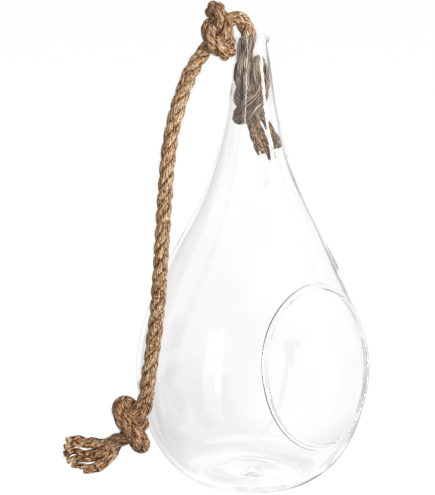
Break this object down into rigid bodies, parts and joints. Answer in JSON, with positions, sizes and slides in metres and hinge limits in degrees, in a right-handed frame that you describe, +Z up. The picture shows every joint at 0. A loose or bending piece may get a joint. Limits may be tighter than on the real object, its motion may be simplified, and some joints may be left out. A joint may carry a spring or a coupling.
{
  "type": "hanging vase",
  "caption": "Drop-shaped clear glass vase with a long narrow neck and a large oval side opening, carried by a knotted natural-fibre rope that passes through the neck.",
  "frame": {"origin": "middle of the vase's flat base, on the vase's own axis", "axes": "+Z up along the neck; the side opening faces -Y; +X completes the right-handed frame"},
  "size_m": [0.2109, 0.1501, 0.3283],
  "materials": {
    "clear_glass": "clear blown glass, fire-polished at the rim and the opening",
    "jute_rope": "three-strand laid jute, dry and slightly hairy",
    "frayed_jute": "unlaid jute yarns, dry and hairy"
  },
  "bodies": {
    "root": {"glass_body": "clear_glass", "rope_inner_tail": "frayed_jute", "rope_stop_knot": "jute_rope", "rope_neck_run": "jute_rope", "rope_top_knot": "jute_rope", "rope_long_run": "jute_rope", "rope_end_knot": "jute_rope", "rope_end_tail": "frayed_jute"}
  },
  "joints": []
}
